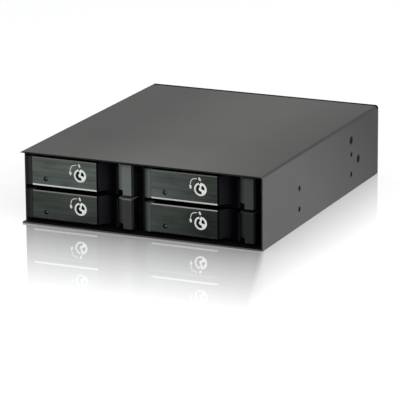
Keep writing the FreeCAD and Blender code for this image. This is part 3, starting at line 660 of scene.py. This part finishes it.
class Pattern(NodeTree):
    # a Geometry Nodes tree with named inputs, run once on a mesh to give a plain mesh
    def __init__(self, name, inputs):
        super().__init__(bpy.data.node_groups.new(name, "GeometryNodeTree"))
        self.sockets = {}
        for label, kind in inputs.items():
            socket = self.tree.interface.new_socket(label, in_out="INPUT", socket_type=kind)
            self.sockets[label] = socket.identifier
        self.tree.interface.new_socket("Geometry", in_out="OUTPUT", socket_type="NodeSocketGeometry")
        self.given = self.add("NodeGroupInput", {}, {})

    def value(self, label):
        return self.given[self.sockets[label]]

    def end(self, geometry):
        solid = self.add("GeometryNodeRealizeInstances", {}, {"Geometry": geometry})
        painted = self.add("GeometryNodeSetMaterial", {}, {
            "Geometry": solid["Geometry"], "Material": self.value("Material")})
        output = self.tree.nodes.new("NodeGroupOutput")
        self.tree.links.new(painted["Geometry"].socket, output.inputs[0])
        return self

    def run(self, places, settings):
        points = bpy.data.meshes.new("points")
        points.from_pydata([tuple(place) for place in places], [], [])
        holder = bpy.data.objects.new("holder", points)
        sceneObjects.link(holder)
        modifier = holder.modifiers.new("pattern", "NODES")
        modifier.node_group = self.tree
        for label, value in settings.items():
            modifier[self.sockets[label]] = value
        graph = bpy.context.evaluated_depsgraph_get()
        mesh = bpy.data.meshes.new_from_object(holder.evaluated_get(graph))
        holder.modifiers.remove(modifier)
        bpy.data.objects.remove(holder)
        return mesh


# Rows of small blocks: contacts in the sockets and ports
def blockRowPattern():
    pattern = Pattern("blockRow", {
        "Geometry": "NodeSocketGeometry", "Count": "NodeSocketInt", "Step": "NodeSocketVector",
        "Size": "NodeSocketVector", "Material": "NodeSocketMaterial"})
    line = pattern.add("GeometryNodeMeshLine", {}, {
        "Count": pattern.value("Count"), "Offset": pattern.value("Step")})
    block = pattern.add("GeometryNodeMeshCube", {}, {"Size": pattern.value("Size")})
    row = pattern.add("GeometryNodeInstanceOnPoints", {}, {
        "Points": line["Mesh"], "Instance": block["Mesh"]})
    rows = pattern.add("GeometryNodeInstanceOnPoints", {}, {
        "Points": pattern.value("Geometry"), "Instance": row["Instances"]})
    return pattern.end(rows["Instances"])


contactLook = {
    "pitch": 1.27 * mm, "width": 0.7 * mm, "thickness": 0.22 * mm, "length": 4.4 * mm,
    "signalCount": 7, "powerCount": 15, "slotRise": 0.64 * mm, "web": 1.6 * mm,
    "signalWidth": 10.4 * mm, "powerWidth": 20.6 * mm,
    "socketHalfLength": 21.0 * mm, "socketHalfHeight": 2.8 * mm, "earLength": 1.6 * mm}


def socketContacts(look, pattern):
    low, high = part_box("drive_sockets")
    nose = low.y + look["earLength"]
    plugHalf = (look["signalWidth"] + look["web"] + look["powerWidth"]) / 2
    meshes = []
    for middle in (low.x + look["socketHalfLength"], high.x - look["socketHalfLength"]):
        for count, width, start in (
                (look["signalCount"], look["signalWidth"], -plugHalf),
                (look["powerCount"], look["powerWidth"], plugHalf - look["powerWidth"])):
            first = middle + start + (width - (count - 1) * look["pitch"]) / 2
            places = []
            for height in (low.z + look["socketHalfHeight"], high.z - look["socketHalfHeight"]):
                places.append((first, nose + look["length"] / 2, height + look["slotRise"]))
            meshes.append(pattern.run(places, {
                "Count": count, "Step": (look["pitch"], 0, 0),
                "Size": (look["width"], look["length"], look["thickness"]),
                "Material": finishes["contactGold"]}))
    return newPiece("socketContacts", joined(meshes), "contactGold", "cage")


blockRow = blockRowPattern()
socketContacts(contactLook, blockRow)


portLook = {
    "pitch": 1.27 * mm, "width": 0.7 * mm, "thickness": 0.22 * mm, "length": 4.0 * mm, "slotRise": 0.64 * mm,
    "portWidth": 14.4 * mm, "portHalfHeight": 3.2 * mm, "portCount": 7, "inletWidth": 24.6 * mm,
    "inletCount": 15}


def portContacts(look, pattern):
    low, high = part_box("data_ports")
    inletLow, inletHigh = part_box("power_inlets")
    half = look["portWidth"] / 2
    rows = []
    for middle in (low.x + half, high.x - half):
        for height in (low.z + look["portHalfHeight"], high.z - look["portHalfHeight"]):
            rows.append((look["portCount"], middle, height, high.y))
    half = look["inletWidth"] / 2
    for middle in (inletLow.x + half, inletHigh.x - half):
        rows.append((look["inletCount"], middle, (inletLow.z + inletHigh.z) / 2, inletHigh.y))
    meshes = []
    for count, middle, height, end in rows:
        first = middle - (count - 1) / 2 * look["pitch"]
        meshes.append(pattern.run([(first, end - look["length"] / 2, height + look["slotRise"])], {
            "Count": count, "Step": (look["pitch"], 0, 0),
            "Size": (look["width"], look["length"], look["thickness"]),
            "Material": finishes["contactGold"]}))
    return newPiece("portContacts", joined(meshes), "contactGold", "cage")


portContacts(portLook, blockRow)
print("contacts made")


# Small parts soldered to the back of the board, on a grid with gaps
chipLook = {
    "size": (1.6 * mm, 0.55 * mm, 0.8 * mm), "across": 9, "up": 4, "zone": (21 * mm, 7 * mm), "kept": 0.62,
    "zones": [(-46, 32.5), (48, 32.5), (-46, 9.5), (46, 9.5)], "seed": 7}


def chipPattern():
    pattern = Pattern("solderedChips", {
        "Geometry": "NodeSocketGeometry", "Size": "NodeSocketVector", "Across": "NodeSocketInt",
        "Up": "NodeSocketInt", "Width": "NodeSocketFloat", "Height": "NodeSocketFloat",
        "Kept": "NodeSocketFloat", "Seed": "NodeSocketInt", "Material": "NodeSocketMaterial"})
    grid = pattern.add("GeometryNodeMeshGrid", {}, {
        "Vertices X": pattern.value("Across"), "Vertices Y": pattern.value("Up"),
        "Size X": pattern.value("Width"), "Size Y": pattern.value("Height")})
    upright = pattern.add("GeometryNodeTransform", {}, {
        "Geometry": grid["Mesh"], "Rotation": (math.radians(90), 0, 0)})
    zones = pattern.add("GeometryNodeInstanceOnPoints", {}, {
        "Points": pattern.value("Geometry"), "Instance": upright["Geometry"]})
    places = pattern.add("GeometryNodeRealizeInstances", {}, {"Geometry": zones["Instances"]})
    chance = pattern.add("FunctionNodeRandomValue", {"data_type": "BOOLEAN"}, {
        "Probability": pattern.value("Kept"), "Seed": pattern.value("Seed")})
    block = pattern.add("GeometryNodeMeshCube", {}, {"Size": pattern.value("Size")})
    chips = pattern.add("GeometryNodeInstanceOnPoints", {}, {
        "Points": places["Geometry"], "Selection": chance["Value_003"], "Instance": block["Mesh"]})
    return pattern.end(chips["Instances"])


def solderedChips(look, pattern):
    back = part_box("backplane_board")[1].y
    places = [(x * mm, back + look["size"][1] / 2, z * mm) for x, z in look["zones"]]
    mesh = pattern.run(places, {
        "Size": look["size"], "Across": look["across"], "Up": look["up"], "Width": look["zone"][0],
        "Height": look["zone"][1], "Kept": look["kept"], "Seed": look["seed"],
        "Material": finishes["chipCeramic"]})
    return newPiece("solderedChips", mesh, "chipCeramic", "cage")


solderedChips(chipLook, chipPattern())
print("board parts made")


# Side rivets with a cross recess
rivetLook = {
    "radius": 2.5 * mm, "sides": 32, "crossLength": 2.9 * mm, "crossWidth": 0.72 * mm,
    "crossDepth": 0.5 * mm}


def rivetPattern():
    pattern = Pattern("crossRecessRivets", {
        "Geometry": "NodeSocketGeometry", "Radius": "NodeSocketFloat", "Sides": "NodeSocketInt",
        "Depth": "NodeSocketFloat", "Bar": "NodeSocketVector", "Cross Bar": "NodeSocketVector",
        "Recess": "NodeSocketFloat", "Material": "NodeSocketMaterial"})
    disc = pattern.add("GeometryNodeMeshCylinder", {}, {
        "Vertices": pattern.value("Sides"), "Radius": pattern.value("Radius"),
        "Depth": pattern.value("Depth")})
    laid = pattern.add("GeometryNodeTransform", {}, {
        "Geometry": disc["Mesh"], "Rotation": (0, math.radians(90), 0)})
    offset = pattern.add("ShaderNodeCombineXYZ", {}, {"X": pattern.value("Recess")})
    cut = laid["Geometry"]
    for label in ("Bar", "Cross Bar"):
        bar = pattern.add("GeometryNodeMeshCube", {}, {"Size": pattern.value(label)})
        moved = pattern.add("GeometryNodeTransform", {}, {
            "Geometry": bar["Mesh"], "Translation": offset["Vector"]})
        cut = pattern.add("GeometryNodeMeshBoolean", {"operation": "DIFFERENCE", "solver": "EXACT"}, {
            "Mesh 1": cut, "Mesh 2": moved["Geometry"]})["Mesh"]
    rivets = pattern.add("GeometryNodeInstanceOnPoints", {}, {
        "Points": pattern.value("Geometry"), "Instance": cut})
    return pattern.end(rivets["Instances"])


def sideRivets(look, pattern):
    low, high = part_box("case_rivets")
    depth = high.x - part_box("base_plate")[1].x
    radius = look["radius"]
    spots = [(low.y + radius, high.z - radius), (high.y - radius, low.z + radius)]
    meshes = []
    for side in (-1, 1):
        face = side * (high.x - depth / 2)
        meshes.append(pattern.run([(face, y, z) for y, z in spots], {
            "Radius": radius, "Sides": look["sides"], "Depth": depth,
            "Bar": (look["crossDepth"], look["crossLength"], look["crossWidth"]),
            "Cross Bar": (look["crossDepth"], look["crossWidth"], look["crossLength"]),
            "Recess": side * depth / 2, "Material": finishes["rivetBlack"]}))
    rivets = newPiece("sideRivets", joined(meshes), "rivetBlack", "cage")
    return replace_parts(rivets, "case_rivets")


sideRivets(rivetLook, rivetPattern())
print("side rivets made")


# Faceplates and locks, finer than the CAD: a slimmer ring and cut edge, deeper notch, wider keyways.
# A keyway is (inner radius, outer radius, start, end), in millimetres and degrees from the right.
formLook = {
    "edgeRise": 0.9 * mm, "edgeDepth": 0.6 * mm, "upperRise": 0.6 * mm, "newDepth": 0.3 * mm,
    "ringRadius": 4.0 * mm, "newRing": 3.7 * mm, "plateThickness": 1.2 * mm, "ringProud": 0.3 * mm,
    "notchWidth": 0.8 * mm, "notchLow": 2.0 * mm, "plugRadius": 2.85 * mm, "plugFront": 0.5 * mm,
    "keyDepth": 1.5 * mm, "plugCut": 2.3 * mm, "keyways": [(1.2, 2.75, 110, 285), (0.35, 2.3, -15, 72)],
    "reach": 0.02 * mm, "overcut": 1.2, "sides": 64, "arcSteps": 16}


def carved(mesh, cutters):
    # a mesh less each of the cutters
    holder = bpy.data.objects.new("holder", mesh)
    sceneObjects.link(holder)
    helpers = []
    for cutter in cutters:
        helper = bpy.data.objects.new("helper", cutter)
        sceneObjects.link(helper)
        helpers.append(helper)
        modifier = holder.modifiers.new("cut", "BOOLEAN")
        modifier.operation = "DIFFERENCE"
        modifier.solver = "EXACT"
        modifier.object = helper
    graph = bpy.context.evaluated_depsgraph_get()
    result = bpy.data.meshes.new_from_object(holder.evaluated_get(graph))
    for helper in helpers + [holder]:
        bpy.data.objects.remove(helper)
    return result


def lockCentre(number):
    # the middle of the ring's front face
    low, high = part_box(f"tray_{number}_lock_barrel")
    return Vector(((low.x + high.x) / 2, low.y, (low.z + high.z) / 2))


def fineFaceplate(number, look):
    node = f"tray_{number}_faceplate"
    low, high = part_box(node)
    centre = lockCentre(number)
    mesh = copied(node)
    for vertex in mesh.vertices:
        x, y, z = vertex.co
        aside = math.hypot(x - centre.x, z - centre.z)
        if abs(aside - look["ringRadius"]) < look["reach"]:
            scale = look["newRing"] / aside
            vertex.co = (centre.x + (x - centre.x) * scale, y, centre.z + (z - centre.z) * scale)
        elif y < low.y + look["reach"] and abs(z - (high.z - look["edgeRise"])) < look["reach"]:
            vertex.co.z = high.z - look["upperRise"]
        elif abs(y - (low.y + look["edgeDepth"])) < look["reach"]:
            vertex.co.y = low.y + look["newDepth"]
    plate = newPiece(f"fineFaceplate{number}", mesh, "brushedFaceplate", f"lever_{number}")
    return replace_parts(plate, node)


def fineLockBarrel(number, look):
    node = f"tray_{number}_lock_barrel"
    centre = lockCentre(number)
    start, end = -look["ringProud"], look["ringProud"] + look["plateThickness"]
    slim, wide = look["newRing"], look["ringRadius"] * look["overcut"]
    tube = [(slim, start), (wide, start), (wide, end), (slim, end), (slim, start)]
    trim = turned(tube, centre, look["sides"])
    left, right = centre.x - look["notchWidth"], centre.x
    floor, roof = centre.z + look["notchLow"], centre.z + wide
    notch = slab([[(left, floor), (right, floor), (right, roof), (left, roof)]], centre.y + end, end - start)
    mesh = carved(copied(node), [trim, notch])
    barrel = newPiece(f"fineLockBarrel{number}", mesh, "lockChrome", f"lever_{number}")
    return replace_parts(barrel, node)


def fineLockPlug(number, look):
    node = f"tray_{number}_lock_plug"
    centre = lockCentre(number)
    cutters = []
    for inner, outer, start, end in look["keyways"]:
        steps = look["arcSteps"]
        angles = [math.radians(start + (end - start) * i / steps) for i in range(steps + 1)]
        arcs = [(outer, angle) for angle in angles] + [(inner, angle) for angle in angles[::-1]]
        outline = [(centre.x + r * mm * math.cos(a), centre.z + r * mm * math.sin(a)) for r, a in arcs]
        cutters.append(slab([outline], centre.y + look["plugFront"] + look["keyDepth"], 2 * look["keyDepth"]))
    radius, front, back = look["plugRadius"], look["plugFront"], look["plugCut"]
    face = turned([(0, front), (radius, front), (radius, back), (0, back)], centre, look["sides"])
    wide = radius * look["overcut"]
    block = turned([(0, -back), (wide, -back), (wide, back), (0, back)], centre, look["sides"])
    mesh = joined([carved(face, cutters), carved(copied(node), [block])])
    plug = newPiece(f"fineLockPlug{number}", mesh, "lockPlugMetal", f"lock_{number}")
    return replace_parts(plug, node)


for number in trayNumbers:
    fineFaceplate(number, formLook)
    fineLockBarrel(number, formLook)
    fineLockPlug(number, formLook)
print("faceplates and locks refined")


# The turn mark printed beside each lock: a curved line with a head at both ends.
# Millimetres from the lock's centre.
markLook = {
    "line": [(-6.0, 2.3), (-6.0, 3.4), (-5.6, 4.4), (-4.8, 5.2), (-3.7, 5.6), (-2.3, 5.7)],
    "halfWidth": 0.22, "thickness": 0.03 * mm,
    "leftHead": [(-6.8, 1.7), (-6.2, 2.1), (-5.5, 1.6), (-5.3, 0.4), (-5.8, -0.4), (-6.5, 0.2)],
    "topHead": [(-1.4, 6.3), (-0.5, 6.6), (0.3, 5.0), (-0.3, 4.4), (-0.9, 4.9)]}


def stroke(line, halfWidth):
    # the outline of a line of even width
    points = [Vector(point) for point in line]
    left, right = [], []
    for i, point in enumerate(points):
        run = points[min(i + 1, len(points) - 1)] - points[max(i - 1, 0)]
        aside = Vector((-run.y, run.x)).normalized() * halfWidth
        left.append(tuple(point + aside))
        right.append(tuple(point - aside))
    return left + right[::-1]


def lockMark(number, look):
    centre = lockCentre(number)
    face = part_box(f"tray_{number}_faceplate")[0].y
    outlines = []
    for outline in (stroke(look["line"], look["halfWidth"]), look["leftHead"], look["topHead"]):
        outlines.append([(centre.x + x * mm, centre.z + z * mm) for x, z in outline])
    mesh = slab(outlines, face, look["thickness"])
    return newPiece(f"lockMark{number}", mesh, "lockInk", f"lever_{number}")


# The lens behind each indicator hole, as (radius, depth) in millimetres
lensLook = {
    "profile": [(0, 0.35), (0.45, 0.40), (0.85, 0.58), (1.12, 0.9), (1.12, 2.4), (0, 2.4)], "sides": 32}


def indicatorHole(number):
    # the hole's centre lines up with the light guide behind it
    low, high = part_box(f"tray_{number}_light_pipe")
    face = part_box(f"tray_{number}_faceplate")[0].y
    return Vector(((low.x + high.x) / 2, face, high.z - (high.x - low.x) / 2))


def indicatorLens(number, look):
    mesh = turned([(r * mm, d * mm) for r, d in look["profile"]], indicatorHole(number), look["sides"])
    return newPiece(f"indicatorLens{number}", mesh, "smokedLens", f"lever_{number}")


for number in trayNumbers:
    lockMark(number, markLook)
    indicatorLens(number, lensLook)
print("lock marks and lenses made")


def latchSpring(number):
    node = f"tray_{number}_latch_spring"
    mesh = copied(node)
    spring = newPiece(f"latchSpring{number}", mesh, "springSteel", f"tray_{number}")
    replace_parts(spring, node)
    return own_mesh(spring)


for number in trayNumbers:
    latchSpring(number)
print("latch springs made")


# Floor, light and camera. The floor mirrors the case close to it, and fades with the distance,
# faster beside the case than before it.
floorLook = {
    "size": 9.0, "lift": -0.1 * mm, "white": (0.62, 0.62, 0.62), "glow": 0.59, "polish": 0.015,
    "sideMirror": 0.46, "frontMirror": 0.70, "turn": 3 * mm, "fadeHeight": 34.5 * mm,
    "sideSlope": 0.92, "frontSlope": 0.308}


def shownBy(path):
    # 1 for rays that show a surface: straight, mirrored or through glass
    return path["Is Camera Ray"].larger(path["Is Glossy Ray"]).larger(path["Is Transmission Ray"])


def floorFinish(look):
    finish = Finish("glossyFloor")
    x, y, _ = finish.axes()
    beside = (abs(x) - cadBox[1].x) * look["sideSlope"]
    before = (abs(y) - cadBox[1].y) * look["frontSlope"]
    rise = beside.larger(before).larger(0.0)
    share = ((before - beside) * (1 / look["turn"]) + 0.5).held()
    fading = (1.0 - rise * (1 / look["fadeHeight"])).held()
    mirror = fading * spread(share, look["sideMirror"], look["frontMirror"])
    seen = shownBy(finish.add("ShaderNodeLightPath", {}, {}))
    white = finish.add("ShaderNodeBsdfDiffuse", {}, {"Color": shade(look["white"])})
    glow = finish.add("ShaderNodeEmission", {}, {"Color": shade(fullWhite), "Strength": seen * look["glow"]})
    lit = finish.add("ShaderNodeAddShader", {}, {"Shader": white["BSDF"], "Shader_001": glow["Emission"]})
    gloss = finish.add("ShaderNodeBsdfAnisotropic", {}, {
        "Color": shade(fullWhite), "Roughness": look["polish"]})
    both = finish.add("ShaderNodeMixShader", {}, {
        "Fac": mirror, "Shader": lit["Shader"], "Shader_001": gloss["BSDF"]})
    return finish.end(both["Shader"])


def makeFloor(look):
    half = look["size"] / 2
    mesh = bpy.data.meshes.new("floor")
    corners = [(-half, -half), (half, -half), (half, half), (-half, half)]
    mesh.from_pydata([(x, y, look["lift"]) for x, y in corners], [], [(0, 1, 2, 3)])
    floor = bpy.data.objects.new("floor", mesh)
    sceneObjects.link(floor)
    floor.data.materials.append(floorFinish(look))


makeFloor(floorLook)

# "seen" is how bright the sky shows in what is looked at, "light" how bright it shines
worldLook = {
    "light": 0.72, "seen": 1.0, "horizon": fullWhite, "horizonEnd": 0.35, "zenith": (0.55, 0.56, 0.58)}


def makeWorld(look):
    world = bpy.data.worlds.new("studio")
    world.use_nodes = True
    bpy.context.scene.world = world
    tree = NodeTree(world.node_tree)
    place = tree.add("ShaderNodeTexCoord", {}, {})
    split = tree.add("ShaderNodeSeparateXYZ", {}, {"Vector": place["Generated"]})
    horizon, zenith = shade(look["horizon"]), shade(look["zenith"])
    stops = [(0.0, horizon), (look["horizonEnd"], horizon), (1.0, zenith)]
    ramp = tree.add("ShaderNodeValToRGB", {"stops": stops}, {"Fac": split["Z"]})
    path = tree.add("ShaderNodeLightPath", {}, {})
    sky = tree.add("ShaderNodeMix", {"data_type": "RGBA"}, {
        "Factor_Float": path["Is Camera Ray"], "A_Color": ramp["Color"], "B_Color": shade(fullWhite)})
    background = tree.add("ShaderNodeBackground", {}, {
        "Color": sky["Result_Color"], "Strength": spread(shownBy(path), look["light"], look["seen"])})
    tree.add("ShaderNodeOutputWorld", {}, {"Surface": background["Background"]})


makeWorld(worldLook)

# places and sizes in metres, power in watts
lampLooks = {
    "keyLamp": {"place": (0.45, -0.75, 0.65), "size": 0.6, "power": 3},
    "sideLamp": {"place": (1.9, -0.5, 0.9), "size": 1.2, "power": 9},
}


def makeLamp(name, look):
    data = bpy.data.lights.new(name, "AREA")
    data.shape = "SQUARE"
    data.size = look["size"]
    data.energy = look["power"]
    lamp = bpy.data.objects.new(name, data)
    sceneObjects.link(lamp)
    lamp.location = look["place"]
    lamp.rotation_euler = (-Vector(look["place"])).to_track_quat("-Z", "Y").to_euler()


for name, look in lampLooks.items():
    makeLamp(name, look)

# place in metres, angles in degrees, lens and sensor in millimetres
cameraLook = {
    "place": (0.652683, -1.459937, 0.448035), "azimuth": 24.185, "elevation": 15.708, "roll": -0.453,
    "lens": 260.2, "sensor": 36.0, "clip": (0.1, 50.0)}


def makeCamera(look):
    data = bpy.data.cameras.new("camera")
    data.lens = look["lens"]
    data.sensor_width = look["sensor"]
    data.clip_start, data.clip_end = look["clip"]
    camera = bpy.data.objects.new("camera", data)
    sceneObjects.link(camera)
    azimuth, elevation, roll = (math.radians(look[name]) for name in ("azimuth", "elevation", "roll"))
    right = Vector((math.cos(azimuth), math.sin(azimuth), 0))
    ahead = Vector((-math.sin(azimuth), math.cos(azimuth), 0))
    back = Vector((0, 0, math.sin(elevation))) - ahead * math.cos(elevation)
    up = back.cross(right)
    level = Matrix((right, up, back)).transposed()
    camera.matrix_world = Matrix.Translation(look["place"]) @ (level @ Matrix.Rotation(roll, 3, "Z")).to_4x4()
    bpy.context.scene.camera = camera


makeCamera(cameraLook)
bpy.context.scene.view_settings.view_transform = "Standard"
print("floor, light and camera ready")
